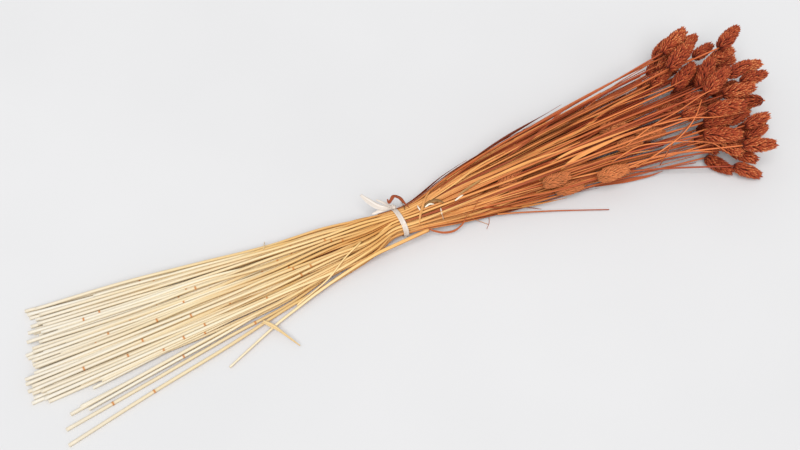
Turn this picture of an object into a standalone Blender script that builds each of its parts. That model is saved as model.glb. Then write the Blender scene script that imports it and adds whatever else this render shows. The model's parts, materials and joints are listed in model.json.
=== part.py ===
"""A bunch of dried, dyed canary grass lying on a table.

The bunch is built round its tie: the stalks' cut ends fan out towards -X and their seed heads
lie towards +X. Metres, +Z up. At the end everything is moved so that the origin lies on the
table, under the middle of the bunch.
"""

import math

import bmesh
import bpy
import numpy as np
from mathutils import Matrix, Vector

MM = 0.001
GAP = 0.32 * MM

# The fan of cut ends, from the tie. TAIL_SKEW is how much shorter it gets towards +Y, FAN_EASE
# how late the stems turn out, at its -Y and +Y edges, and FAN_MIX how much they change places
# between the tie and the fan.
TAIL_LENGTH = 0.328
TAIL_SKEW = 0.16
TAIL_RAGGED = 0.009
FAN_WIDTH = 0.092
FAN_MIDDLE = -0.008
FAN_EASE = (0.6, 1.1)
FAN_MIX = 1.6 * MM
FAN_SLOPE = 1.6
SECOND_LAYER = 1.9

# The cut ends that stray out of the fan, as y and x, and how late they turn away
STRAYS = ((-0.071, -0.313), (-0.083, -0.319), (-0.097, -0.320))
STRAY_BEND = 0.95

# The stem's radius at the cut end, at the tie and under the seed head
CUT_RADIUS = 1.55 * MM
TIED_RADIUS = 1.18 * MM
NECK_RADIUS = 0.80 * MM
STEM_SIDES = 5

# Where a stem has its points, as shares of its length each side of the tie
TAIL_STATIONS = (1.0, 0.77, 0.55, 0.36, 0.2, 0.09)
HEAD_STATIONS = (0.16, 0.36, 0.58, 0.80, 1.0)
HEAD_MIX = 7 * MM
STEM_WAVE = 1.1 * MM

# How late the stems turn out towards their heads, for heads at three places across the bunch
HEAD_EASE = (2.6, 1.05, 0.8)
HEAD_EASE_AT = (-0.052, -0.024, 0.055)

# The tie, a ribbon drawn round the stems into an oval that lies flat where it meets the table
TIE_HALF_WIDTH = 13.8 * MM
TIE_HALF_HEIGHT = 10.5 * MM
TIE_RIBBON = 5.6 * MM
TIE_THICK = 0.7 * MM
TIE_SAG = 0.9 * MM
TIE_SEGMENTS = 28
TIE_GRIP = 9.0 * MM
TIE_CLEAR = 0.25 * MM
SLOT_ROWS = 9

# The knot's middle and half sizes, then the ribbon's two tails: points, half widths and the way
# the face looks. All in millimetres from the tie.
KNOT_MIDDLE = (-0.5, 11.0, 20.0)
KNOT_SIZES = (3.2, 3.0, 2.2)
TAIL_THICK = 0.5 * MM
TAILS = (
    (
        ((-1, 11, 20.0), (-8, 13, 23), (-16, 17, 25), (-24, 22, 27), (-31, 26, 30)),
        (1.5, 1.9, 2.3, 2.2, 1.3),
        (0.3, -0.5, 1.0),
    ),
    (
        ((-1, 10, 20.0), (-7, 12, 24.5), (-13, 15, 29), (-18, 19, 32)),
        (1.4, 1.5, 1.4, 0.8),
        (0.4, -0.4, 1.0),
    ),
)

# A seed head's outline, as shares of its length and of its greatest radius. A head of
# TYPICAL_HEAD has the radius HEAD_PLUMP times its length, and longer ones are slimmer.
HEAD_OUTLINE = ((0.05, 0.52), (0.22, 0.92), (0.44, 1.0), (0.66, 0.82), (0.86, 0.50))
NECK_WIDE = 0.3
TIP_WIDE = 0.1
HEAD_SIDES = 8
HEAD_PLUMP = 0.19
TYPICAL_HEAD = 34 * MM
SCALE_RIDGE = 0.07

# Each stalk's seed head: x, y and z of its foot from the tie in millimetres, heading and rise in
# degrees, length in millimetres. The last BURIED_HEADS lie under the others.
BURIED_HEADS = 14
HEADS = (
    (294, 61, 46, 27, 3, 38),
    (295, 70, 28, 35, 3, 30),
    (287, 68, 20, 24, 2, 30),
    (291, 58, 34, 28, 4, 30),
    (287, 40, 52, 29, 3, 41),
    (314, 68, 38, 19, 3, 28),
    (328, 58, 36, 17, 4, 26),
    (348, 50, 50, 28, 3, 34),
    (340, 49, 36, 8, 2, 30),
    (308, 15, 44, 44, 3, 40),
    (288, 27, 40, 30, 2, 38),
    (299, -3, 60, 27, 4, 37),
    (335, 12, 48, 11, 4, 29),
    (356, 30, 34, -3, 0, 30),
    (350, 11, 40, 0, 1, 29),
    (322, -2, 46, -3, 1, 34),
    (293, -19, 54, -9, 2, 38),
    (329, -33, 32, 5, 1, 28),
    (329, -36, 18, 8, 1, 26),
    (314, -24, 34, 5, 1, 27),
    (291, -20, 40, -12, 1, 28),
    (283, -34, 42, -22, 2, 36),
    (314, -54, 36, -20, 1, 31),
    (312, -44, 18, -60, 8, 29),
    (308, -53, 19, -33, -17, 28),
    (293, -33, 10, -60, 1, 29),
    (300, -35, 20, -58, 1, 26),
    (285, 8, 44, -1, 1, 25),
    (276, -5, 42, -11, 1, 29),
    (271, 42, 36, 17, 2, 28),
    (291, -18, 13, -62, 0, 26),
    (92, -7, 24, 12, 2, 28),
    (130, -14, 26, 1, 1, 28),
    (180, -25, 18, 0, 1, 32),
    (209, -13, 34, -3, 2, 26),
    (232, -3, 30, -15, 2, 28),
    (204, 12, 30, -8, 2, 27),
    (143, -18, 12, -8, 0, 27),
    (300, 40, 9, 20, 0, 31),
    (325, 50, 12, 14, 0, 31),
    (309, 16, 9, 6, 0, 32),
    (335, 28, 12, 8, 0, 31),
    (331, 2, 9, -4, 0, 32),
    (279, 27, 11, 9, 0, 30),
    (338, -14, 9, -6, 0, 31),
    (268, 54, 13, 24, 1, 30),
    (300, -8, 9, -18, 0, 31),
    (316, 34, 25, 15, 1, 31),
    (300, 60, 18, 26, 0, 30),
    (312, -24, 10, -14, 0, 30),
    (348, 50, 20, 7, 1, 28),
    (264, 12, 30, 2, 0, 27),
)

# A head that has broken off and lies among the others, the stub of its stem, and the way it is
# moved until it only rests against them
LOOSE_HEAD = (361, -13, 34, 150, -12, 28)
LOOSE_STUB = 2 * MM
LOOSE_WAY = (0.2, -0.3, 1.0)

# Straws with no head, outside the tie: points as x, y and z in millimetres, radii of the two ends
STRAWS = {
    "broken_straw": (
        ((-182, -78, 2), (-134, -55, 4), (-90, -38, 5), (-54, -28, 8), (-30, -24, 11), (20, -19, 13)),
        (0.9 * MM, 1.8 * MM),
    ),
    "thin_straw": (
        ((86, -22, 6), (105, -26, 4), (145, -38, 2), (184, -52, 1.2)),
        (0.8 * MM, 0.45 * MM),
    ),
}

# Loose leaf pieces: points in millimetres from the tie, half widths, the way the face looks, and
# the way each is moved until it only rests against the stalks
LEAF_THICK = 0.45 * MM
LEAVES = {
    "leaf_blade": (
        ((184, -22, 2), (198, -24, 2), (212, -27, 3), (226, -29, 3), (238, -31, 4), (248, -32, 6)),
        (0.7, 1.5, 2.0, 1.9, 1.2, 0.4),
        (0.0, -0.3, 1.0),
        (0, -1, 0),
    ),
    "leaf_curl": (
        ((-10, 11, 31), (-6, 14, 33), (-1, 15, 34), (3, 11, 32), (7, 5, 29), (10, -1, 25)),
        (0.6, 1.5, 2.3, 2.2, 1.3, 0.5),
        (0.2, 0.3, 1.0),
        (0, 0, 1),
    ),
    "leaf_loop": (
        ((20, -16, 11), (27, -20, 8), (35, -23, 6), (43, -24, 6), (51, -22, 8), (58, -17, 12)),
        (0.7, 1.1, 1.4, 1.4, 1.1, 0.6),
        (0.0, -1.0, 0.4),
        (0, -1, 0),
    ),
    "leaf_folded": (
        ((-144, -48, 3), (-140, -53, 4), (-136, -58, 3.4), (-129, -69, 2.2), (-122, -81, 1.2)),
        (1.8, 2.0, 1.1, 0.9, 0.5),
        (0.2, 0.0, 1.0),
        (0, -0.2, 1),
    ),
}

# The settling of the stalks against each other. Early rounds pull each stem towards its own path
# and keep it straight, the free rounds pull less and less, and the loose rounds only part stems.
ROUNDS = 460
FREE_ROUNDS = 220
LOOSE_ROUNDS = 110
PLANE_STEP = 6.5 * MM
PUSH = 1.3
PULL = 0.04
STIFFNESS = 0.16
LEAST_STIFFNESS = 0.02
HEAD_BALLS = 7
BALL_MARGIN = 0.25 * MM
HEAD_SHARE = 0.3
TOP_HEAD_GIVES = 0.25
LEAST_STEEP = 0.35
CLEAR_STEP = 0.4 * MM
CLEAR_STEPS = 90
SEED = 21

# Materials: name, colour, roughness. A stem's dyed stretch starts at the tie.
STRAW_PALE = ("straw_pale", (0.83, 0.71, 0.45), 0.5)
STRAW_DYED = ("straw_dyed", (0.62, 0.27, 0.09), 0.55)
HEAD_RUST = ("head_rust", (0.36, 0.075, 0.02), 0.8)
LEAF_TAN = ("leaf_tan", (0.66, 0.33, 0.12), 0.6)
RIBBON = ("ribbon_white", (0.84, 0.80, 0.74), 0.35)
SHARP_ANGLE = math.radians(50)


def clear_scene():
    for obj in list(bpy.data.objects):
        bpy.data.objects.remove(obj)


def material(kind):
    name, colour, roughness = kind
    found = bpy.data.materials.get(name)
    if found:
        return found
    made = bpy.data.materials.new(name)
    made.use_nodes = True
    shader = made.node_tree.nodes["Principled BSDF"]
    shader.inputs["Base Color"].default_value = (*colour, 1.0)
    shader.inputs["Roughness"].default_value = roughness
    shader.inputs["Metallic"].default_value = 0.0
    return made


def heading_vector(heading, rise):
    """The unit vector at that heading from +X towards +Y and that rise above the table."""
    across, up = math.radians(heading), math.radians(rise)
    return np.array((math.cos(across) * math.cos(up), math.sin(across) * math.cos(up), math.sin(up)))


def outline_radius(share):
    """A head's radius at a share of its length, as a share of its greatest radius."""
    along = [0.0] + [at for at, _ in HEAD_OUTLINE] + [1.0]
    wide = [NECK_WIDE] + [radius for _, radius in HEAD_OUTLINE] + [TIP_WIDE]
    return np.interp(share, along, wide)


def tie_middle():
    """The height of the oval's middle above the table."""
    return TIE_HALF_HEIGHT + TIE_THICK - TIE_SAG


def tie_slots(count):
    """Places for the stems inside the tie, in close-packed rows, as (y, z), from the middle out."""
    pitch = 2 * TIED_RADIUS + GAP
    found = []
    for row in range(-SLOT_ROWS, SLOT_ROWS + 1):
        for column in range(-SLOT_ROWS, SLOT_ROWS + 1):
            y = (column + 0.5 * (row % 2)) * pitch
            z = row * pitch * math.sqrt(3) / 2
            found.append((math.hypot(y / TIE_HALF_WIDTH, z / TIE_HALF_HEIGHT), y, z + tie_middle()))
    found.sort()
    return np.array([(y, z) for _, y, z in found[:count]])


def rank_match(places, wanted):
    """For each wanted (y, z), the index of a place, matched column by column from -Y to +Y."""
    columns = round(math.sqrt(len(places)))
    place_columns = np.array_split(np.argsort(places[:, 0], kind="stable"), columns)
    wanted_columns = np.array_split(np.argsort(wanted[:, 0], kind="stable"), columns)
    match = np.zeros(len(places), int)
    for some_places, some_wanted in zip(place_columns, wanted_columns):
        low_first = some_places[np.argsort(places[some_places, 1], kind="stable")]
        match[some_wanted[np.argsort(wanted[some_wanted, 1], kind="stable")]] = low_first
    return match


def add_to(sums, weights, index, moves, parts):
    """Adds each move, times its part, to the sum and the weight at its index."""
    np.add.at(sums, index, moves * parts[:, None])
    np.add.at(weights, index, parts)


class Bunch:
    """The stalks, then the straws, as rows of stem points. A point's x is fixed, its y and z settle."""

    def __init__(self):
        self.random = np.random.default_rng(SEED)
        heads = np.array(HEADS, float)
        feet = heads[:, :3] * MM
        self.count = len(HEADS)
        self.axes = np.array([heading_vector(row[3], row[4]) for row in HEADS])
        self.lengths = heads[:, 5] * MM
        self.plump = HEAD_PLUMP * np.sqrt(self.lengths * TYPICAL_HEAD)
        self.gives = np.where(np.arange(self.count) < self.count - BURIED_HEADS, TOP_HEAD_GIVES, 1.0)
        slots = tie_slots(self.count)
        mixed = feet[:, 1:] + self.random.normal(0, HEAD_MIX, (self.count, 2))
        self.slots = slots[rank_match(slots, mixed)]
        stems = self.lay_stems(feet, self.cut_ends())
        straws = [self.lay_straw(*row, stems.shape[1]) for row in STRAWS.values()]
        laid = np.concatenate([stems, [points for points, _ in straws]])
        self.x = laid[:, :, 0]
        self.wanted = laid[:, :, 1:]
        self.at = self.wanted.copy()
        self.radii = np.concatenate([self.stem_radii(stems[..., 0]), [radii for _, radii in straws]])
        self.find_planes()

    def cut_ends(self):
        """x, y and z of each cut end: two layers on the table, in the order the stems lie in the tie."""
        order = np.argsort(self.slots[:, 0] + self.random.normal(0, FAN_MIX, self.count), kind="stable")
        ends = np.zeros((self.count, 3))
        for stalk, (y, x) in zip(order, STRAYS):
            ends[stalk] = (x, y, CUT_RADIUS)
        fan = order[len(STRAYS) :]
        for first in range(0, len(fan), 2):
            pair = fan[first : first + 2]
            for layer, stalk in enumerate(pair[np.argsort(self.slots[pair, 1])]):
                share = (first + 0.5 + layer) / len(fan)
                aside = (share - 0.5) * FAN_WIDTH
                x = aside * TAIL_SKEW - TAIL_LENGTH + self.random.uniform(-TAIL_RAGGED, TAIL_RAGGED)
                y = FAN_MIDDLE + aside
                ends[stalk] = (x, y, CUT_RADIUS * (1 + SECOND_LAYER * layer))
        return ends

    def lay_stems(self, feet, ends):
        """The path each stem would take with nothing in its way."""
        stations = []
        edges = FAN_MIDDLE - FAN_WIDTH / 2, FAN_MIDDLE + FAN_WIDTH / 2
        ease = np.where(ends[:, 1] < edges[0], STRAY_BEND, np.interp(ends[:, 1], edges, FAN_EASE))[:, None]
        for share in TAIL_STATIONS:
            spread = share ** ease
            point = np.empty((self.count, 3))
            point[:, 0] = ends[:, 0] * share
            point[:, 1:] = self.slots + (ends[:, 1:] - self.slots) * spread
            point[:, 2] = ends[:, 2] + (self.slots[:, 1] - ends[:, 2]) * (1 - share) ** FAN_SLOPE
            stations.append(point)
        for side in (-TIE_GRIP, TIE_GRIP):
            stations.append(np.column_stack([np.full(self.count, side), self.slots]))
        ease = np.interp(feet[:, 1], HEAD_EASE_AT, HEAD_EASE)[:, None]
        for share in HEAD_STATIONS:
            point = np.empty((self.count, 3))
            point[:, 0] = TIE_GRIP + (feet[:, 0] - TIE_GRIP) * share
            point[:, 1:] = self.slots + (feet[:, 1:] - self.slots) * share ** ease
            stations.append(point)
        laid = np.stack(stations, axis=1)
        wave = self.random.normal(0, STEM_WAVE, laid.shape[:2] + (2,))
        wave[:, [0, *self.tied_stations(), -1]] = 0
        laid[:, :, 1:] += wave
        return laid

    def tied_stations(self):
        """The two points of each stem that the tie holds."""
        return len(TAIL_STATIONS), len(TAIL_STATIONS) + 1

    def lay_straw(self, path, end_radii, stations):
        """A straw's path cut into as many stations as a stem has, and its radii there."""
        path = np.array(path, float) * MM
        shares = np.linspace(0, 1, stations)
        x = path[0, 0] + (path[-1, 0] - path[0, 0]) * shares
        across = [np.interp(x, path[:, 0], path[:, axis]) for axis in (1, 2)]
        return np.column_stack([x, *across]), np.interp(shares, (0, 1), end_radii)

    def stem_radii(self, x):
        share_out = np.clip(-x / TAIL_LENGTH, 0, 1)
        share_up = np.clip(x / x[:, -1:], 0, 1)
        thicker = (CUT_RADIUS - TIED_RADIUS) * share_out
        thinner = (TIED_RADIUS - NECK_RADIUS) * share_up
        return TIED_RADIUS + thicker - thinner

    def find_planes(self):
        """Planes across the bunch, and where each stem passes through each of them."""
        planes = np.arange(self.x.min() + PLANE_STEP / 2, self.x.max(), PLANE_STEP)
        before = np.array([[np.searchsorted(row, plane) - 1 for row in self.x] for plane in planes])
        self.before = np.clip(before, 0, self.x.shape[1] - 2)
        rows = np.arange(len(self.x))
        low = self.x[rows, self.before]
        high = self.x[rows, self.before + 1]
        share = (planes[:, None] - low) / (high - low)
        self.crossed = (share >= 0) & (share <= 1)
        self.share = np.clip(share, 0, 1)
        self.plane_radii = self.between(self.radii)

    def between(self, values):
        """Values at the stem points, read where each stem passes through each plane."""
        rows = np.arange(len(self.x))
        share = self.share.reshape(self.share.shape + (1,) * (values.ndim - 2))
        return values[rows, self.before] * (1 - share) + values[rows, self.before + 1] * share

    def push_stems(self, push, weight, stalks, points, share, moves):
        """Shares each move between the two stem points either side of where it acts."""
        add_to(push, weight, (stalks, points), moves, 1 - share)
        add_to(push, weight, (stalks, points + 1), moves, share)

    def part_stems(self, push, weight):
        """Stems that meet in a plane are moved apart."""
        here = self.between(self.at)
        apart = here[:, :, None] - here[:, None]
        distance = np.sqrt((apart ** 2).sum(-1)) + 1e-9
        least = self.plane_radii[:, :, None] + self.plane_radii[:, None] + GAP
        both = self.crossed[:, :, None] & self.crossed[:, None]
        near = np.where(both, least - distance, 0.0)
        rows = np.arange(len(self.x))
        near[:, rows, rows] = 0.0
        plane, one, other = np.nonzero(near > 0)
        found = near[plane, one, other] / distance[plane, one, other]
        moves = apart[plane, one, other] * found[:, None] * 0.5
        self.push_stems(push, weight, one, self.before[plane, one], self.share[plane, one], moves)

    def head_balls(self):
        """The heads as rows of balls: middles and radii."""
        shares = (np.arange(HEAD_BALLS) + 0.5) / HEAD_BALLS
        feet = np.concatenate([self.x[:, -1:], self.at[:, -1]], axis=1)[: self.count]
        middles = feet[:, None] + self.axes[:, None] * (self.lengths[:, None] * shares)[..., None]
        radii = self.plump[:, None] * outline_radius(shares)[None] * (1 + SCALE_RIDGE)
        return middles, radii + BALL_MARGIN

    def push_heads(self, push, weight, stalks, apart, distance, near):
        """Moves heads in y and z only, further where the contact lies mostly along x."""
        way = apart[:, 1:] / distance[:, None]
        steep = np.maximum(np.sqrt((way ** 2).sum(-1)), LEAST_STEEP)
        moves = way / (steep ** 2)[:, None] * near[:, None]
        last = np.full(len(stalks), self.x.shape[1] - 1)
        add_to(push, weight, (stalks, last), moves, np.ones(len(stalks)))

    def part_heads(self, push, weight):
        """Heads that meet are moved apart, and the buried ones give way to the top ones."""
        middles, radii = self.head_balls()
        owner = np.repeat(np.arange(self.count), HEAD_BALLS)
        middles = middles.reshape(-1, 3)
        radii = radii.reshape(-1)
        apart = middles[:, None] - middles[None]
        distance = np.sqrt((apart ** 2).sum(-1)) + 1e-9
        least = radii[:, None] + radii[None] + GAP
        near = np.where(owner[:, None] != owner[None], least - distance, 0.0)
        one, other = np.nonzero(near > 0)
        gives = self.gives[owner]
        part = near[one, other] * gives[one] / (gives[one] + gives[other])
        self.push_heads(push, weight, owner[one], apart[one, other], distance[one, other], part)

    def part_heads_and_stems(self, push, weight):
        """A stem that runs through another stalk's head is moved out of it, and the head away."""
        middles, radii = self.head_balls()
        points = np.concatenate([self.x[..., None], self.at], axis=2)
        start = points[:, :-1]
        run = points[:, 1:] - start
        to_ball = middles[:, :, None, None] - start[None, None]
        share = np.clip((to_ball * run).sum(-1) / (run ** 2).sum(-1), 0, 1)
        apart = to_ball - run * share[..., None]
        distance = np.sqrt((apart ** 2).sum(-1)) + 1e-9
        stem = self.radii[:, :-1] * (1 - share) + self.radii[:, 1:] * share
        near = radii[:, :, None, None] + stem + GAP - distance
        own = np.arange(self.count)
        near[own, :, own] = 0.0
        found = np.nonzero(near > 0)
        head, _, stalk, piece = found
        away, length, depth = apart[found], distance[found], near[found]
        self.push_heads(push, weight, head, away, length, depth * HEAD_SHARE)
        moves = -away[:, 1:] / length[:, None] * depth[:, None] * (1 - HEAD_SHARE)
        self.push_stems(push, weight, stalk, piece, share[found], moves)

    def keep_in_tie(self):
        """The stems stay inside the ribbon, a little clear of it."""
        middle = np.array((0.0, tie_middle()))
        for station in self.tied_stations():
            radius = self.radii[: self.count, station]
            room = np.column_stack([TIE_HALF_WIDTH - radius, TIE_HALF_HEIGHT - radius]) - TIE_CLEAR
            scaled = (self.at[: self.count, station] - middle) / room
            out = np.maximum(1.0, np.sqrt((scaled ** 2).sum(-1)))
            self.at[: self.count, station] = middle + scaled / out[:, None] * room
            floor = TIE_THICK + TIE_CLEAR + radius
            self.at[: self.count, station, 1] = np.maximum(self.at[: self.count, station, 1], floor)

    def keep_on_table(self):
        self.at[..., 1] = np.maximum(self.at[..., 1], self.radii)
        middles, radii = self.head_balls()
        self.at[: self.count, -1, 1] += np.maximum(0.0, radii - middles[..., 2]).max(axis=1)

    def settle(self):
        for turn in range(ROUNDS):
            push = np.zeros_like(self.at)
            weight = np.zeros(self.at.shape[:2])
            self.part_stems(push, weight)
            self.part_heads(push, weight)
            self.part_heads_and_stems(push, weight)
            self.at += PUSH * push / np.maximum(weight, 1.0)[..., None]
            held = max(0.0, 1 - turn / (ROUNDS - FREE_ROUNDS))
            loose = turn >= ROUNDS - LOOSE_ROUNDS
            moved = (self.at - self.wanted) * (1 - PULL * held)
            bent = moved[:, :-2] + moved[:, 2:] - 2 * moved[:, 1:-1]
            moved[:, 1:-1] += bent * (0.0 if loose else LEAST_STIFFNESS + STIFFNESS * held)
            self.at = self.wanted + moved
            self.keep_in_tie()
            self.keep_on_table()

    def stem_points(self, stalk):
        return [Vector((x, y, z)) for x, (y, z) in zip(self.x[stalk], self.at[stalk])]

    def room_round(self, points, reach):
        """How far points with that reach are from the nearest stem or head, less than 0 if they meet."""
        stems = np.concatenate([self.x[..., None], self.at], axis=2)
        start = stems[:, :-1]
        run = stems[:, 1:] - start
        to_point = points[:, None, None] - start[None]
        share = np.clip((to_point * run).sum(-1) / (run ** 2).sum(-1), 0, 1)
        distance = np.sqrt(((to_point - run * share[..., None]) ** 2).sum(-1))
        stem = self.radii[:, :-1] * (1 - share) + self.radii[:, 1:] * share
        middles, radii = self.head_balls()
        to_ball = np.sqrt(((points[:, None, None] - middles[None]) ** 2).sum(-1)) - radii
        return min((distance - stem).min(), to_ball.min()) - reach

    def clear_way(self, points, reach, way):
        """The shortest move along a way that takes the points clear of every stem and head."""
        way = np.array(way, float) / np.linalg.norm(way)
        steps = 0
        while steps < CLEAR_STEPS and self.room_round(points + way * steps * CLEAR_STEP, reach) < GAP:
            steps += 1
        return Vector(way * steps * CLEAR_STEP)


def ring_across(middle, radius):
    """A ring of points in the plane x = middle.x, with one point straight down."""
    turns = [2 * math.pi * n / STEM_SIDES for n in range(STEM_SIDES)]
    return [middle + Vector((0, radius * math.sin(t), -radius * math.cos(t))) for t in turns]


def ring_about(middle, axis, radii):
    """A ring of points round an axis, one for each radius, starting on its lower side."""
    side = axis.cross(Vector((0, 0, 1))).normalized()
    down = axis.cross(side).normalized()
    if down.z > 0:
        down.negate()
        side.negate()
    turn = 2 * math.pi / len(radii)
    return [
        middle + (down * math.cos(turn * n) + side * math.sin(turn * n)) * radius
        for n, radius in enumerate(radii)
    ]


def bridge(bm, one, other):
    """Faces between two rings of points, which may differ in number."""
    edges = []
    for ring in (one, other):
        for n, vert in enumerate(ring):
            ends = (vert, ring[(n + 1) % len(ring)])
            edges.append(bm.edges.get(ends) or bm.edges.new(ends))
    bmesh.ops.bridge_loops(bm, edges=edges)


def add_head(bm, foot_ring, foot, axis, length, plump):
    """A seed head on a ring of the stem: rings of scale tips, high and low in turn, to a point."""
    last = foot_ring
    for number, (along, wide) in enumerate(HEAD_OUTLINE):
        ridges = [SCALE_RIDGE if (n + number) % 2 else -SCALE_RIDGE for n in range(HEAD_SIDES)]
        points = ring_about(foot + axis * (length * along), axis, [plump * wide * (1 + r) for r in ridges])
        ring = [bm.verts.new(point) for point in points]
        bridge(bm, last, ring)
        last = ring
    tip = bm.verts.new(foot + axis * length)
    for n, vert in enumerate(last):
        bm.faces.new((vert, last[(n + 1) % len(last)], tip))


def finish_object(name, bm, kinds, pick=None):
    """The mesh as a named object with its faces outwards, and a material picked for each face."""
    bmesh.ops.recalc_face_normals(bm, faces=bm.faces)
    mesh = bpy.data.meshes.new(name)
    bm.to_mesh(mesh)
    bm.free()
    for kind in kinds:
        mesh.materials.append(material(kind))
    for face in mesh.polygons:
        face.material_index = pick(face.center) if pick else 0
    mesh.shade_smooth()
    mesh.set_sharp_from_angle(angle=SHARP_ANGLE)
    obj = bpy.data.objects.new(name, mesh)
    bpy.context.scene.collection.objects.link(obj)
    return obj


def tube(points, radii):
    """A bmesh of rings across x, closed at its first end, and its last ring."""
    bm = bmesh.new()
    rings = []
    for point, radius in zip(points, radii):
        rings.append([bm.verts.new(corner) for corner in ring_across(point, radius)])
    bm.faces.new(rings[0])
    for one, other in zip(rings, rings[1:]):
        bridge(bm, one, other)
    return bm, rings[-1]


def make_stalk(bunch, stalk):
    """A stem and its seed head, which grew as one piece."""
    points = bunch.stem_points(stalk)
    foot = points[-1]
    axis = Vector(bunch.axes[stalk])
    bm, neck = tube(points, bunch.radii[stalk])
    add_head(bm, neck, foot, axis, float(bunch.lengths[stalk]), float(bunch.plump[stalk]))

    def pick(middle):
        if (middle - foot).dot(axis) > 0:
            return 2
        return 1 if middle.x > 0 else 0

    return finish_object(f"stalk_{stalk + 1:02d}", bm, (STRAW_PALE, STRAW_DYED, HEAD_RUST), pick)


def make_loose_head(bunch):
    x, y, z, heading, rise, length = LOOSE_HEAD
    axis = Vector(heading_vector(heading, rise))
    length *= MM
    plump = HEAD_PLUMP * math.sqrt(length * TYPICAL_HEAD)
    foot = Vector((x, y, z)) * MM
    along = np.array([foot + axis * length * share for share in np.linspace(0, 1, HEAD_BALLS)])
    foot += bunch.clear_way(along, plump * (1 + SCALE_RIDGE), LOOSE_WAY)
    bm = bmesh.new()
    cut = ring_about(foot - axis * LOOSE_STUB, axis, [NECK_RADIUS] * STEM_SIDES)
    stub = [bm.verts.new(point) for point in cut]
    bm.faces.new(stub)
    add_head(bm, stub, foot, axis, length, plump)
    return finish_object("loose_head", bm, (HEAD_RUST,))


def make_straw(bunch, name, row):
    bm, last = tube(bunch.stem_points(row), bunch.radii[row])
    bm.faces.new(last)
    return finish_object(name, bm, (STRAW_PALE,))


def strip_corners(points, half_widths, thick, facing):
    """The four corners of a thin strip at each point of its path, its face turned towards facing."""
    corners = []
    for n, point in enumerate(points):
        way = (points[min(n + 1, len(points) - 1)] - points[max(n - 1, 0)]).normalized()
        side = way.cross(facing).normalized() * half_widths[n]
        up = side.cross(way).normalized() * thick / 2
        corners.append([point - side - up, point + side - up, point + side + up, point + up - side])
    return corners


def strip(points, half_widths, thick, facing):
    """A bmesh of a thin closed strip."""
    bm = bmesh.new()
    corners = strip_corners(points, half_widths, thick, facing)
    rings = [[bm.verts.new(corner) for corner in ring] for ring in corners]
    bm.faces.new(rings[0])
    for one, other in zip(rings, rings[1:]):
        bridge(bm, one, other)
    bm.faces.new(rings[-1])
    return bm


def make_leaf(bunch, name):
    path, half_widths, facing, way = LEAVES[name]
    points = [Vector(point) * MM for point in path]
    widths = [width * MM for width in half_widths]
    lines = np.array([points, *zip(*strip_corners(points, widths, LEAF_THICK, Vector(facing)))])
    between = [lines[:, :-1] * (1 - share) + lines[:, 1:] * share for share in (0, 0.25, 0.5, 0.75, 1)]
    move = bunch.clear_way(np.concatenate(between, axis=1).reshape(-1, 3), LEAF_THICK, way)
    bm = strip([point + move for point in points], widths, LEAF_THICK, Vector(facing))
    return finish_object(name, bm, (LEAF_TAN,))


def tie_outline(grow):
    """The ribbon's line round the stems, flat where it meets the table."""
    points = []
    for n in range(TIE_SEGMENTS):
        turn = 2 * math.pi * n / TIE_SEGMENTS
        y = (TIE_HALF_WIDTH + grow) * math.sin(turn)
        z = tie_middle() - (TIE_HALF_HEIGHT + grow) * math.cos(turn)
        points.append((y, max(z, TIE_THICK - grow)))
    return points


def make_knot():
    bm = bmesh.new()
    bmesh.ops.create_icosphere(bm, subdivisions=2, radius=1.0)
    bmesh.ops.scale(bm, verts=bm.verts, vec=Vector(KNOT_SIZES) * MM)
    bmesh.ops.translate(bm, verts=bm.verts, vec=Vector(KNOT_MIDDLE) * MM)
    return finish_object("knot_guide", bm, (RIBBON,))


def join_to(band, piece):
    """Joins a piece to the band, and keeps the piece itself as a hidden guide."""
    piece.hide_render = True
    piece.display_type = "WIRE"
    union = band.modifiers.new(piece.name, "BOOLEAN")
    union.operation = "UNION"
    union.solver = "EXACT"
    union.object = piece


def make_tie():
    """The ribbon drawn round the stems, its knot at the top of the far side, and its two tails."""
    bm = bmesh.new()
    half = TIE_RIBBON / 2
    loops = []
    for grow, x in ((0.0, -half), (TIE_THICK, -half), (TIE_THICK, half), (0.0, half)):
        loops.append([bm.verts.new((x, y, z)) for y, z in tie_outline(grow)])
    for n, loop in enumerate(loops):
        bridge(bm, loop, loops[(n + 1) % len(loops)])
    band = finish_object("tie", bm, (RIBBON,))
    join_to(band, make_knot())
    for path, half_widths, facing in TAILS:
        points = [Vector(point) * MM for point in path]
        widths = [width * MM for width in half_widths]
        tail = strip(points, widths, TAIL_THICK, Vector(facing))
        join_to(band, finish_object("tail_guide", tail, (RIBBON,)))
    return band


def centre_on_table(objects):
    """Moves every mesh so that the origin is on the table, under the middle of the bunch."""
    corners = np.array([v.co for obj in objects if not obj.hide_render for v in obj.data.vertices])
    low, high = corners.min(axis=0), corners.max(axis=0)
    shift = Vector((-(low[0] + high[0]) / 2, -(low[1] + high[1]) / 2, -low[2]))
    for obj in objects:
        obj.data.transform(Matrix.Translation(shift))
        obj.data.update()


def main():
    clear_scene()
    bunch = Bunch()
    bunch.settle()
    for stalk in range(bunch.count):
        make_stalk(bunch, stalk)
    make_loose_head(bunch)
    make_tie()
    for number, name in enumerate(STRAWS):
        make_straw(bunch, name, bunch.count + number)
    for name in LEAVES:
        make_leaf(bunch, name)
    centre_on_table([obj for obj in bpy.data.objects if obj.type == "MESH"])


main()
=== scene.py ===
"""The looks of a bunch of dried, dyed canary grass that lies on a table.

Each stalk's solid gives the line of its stem and the size of its seed head. The straw, the
scaly heads, the leaves and the ribbon are modelled on those lines. Metres, +Z up.
"""

import json
import math

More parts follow.
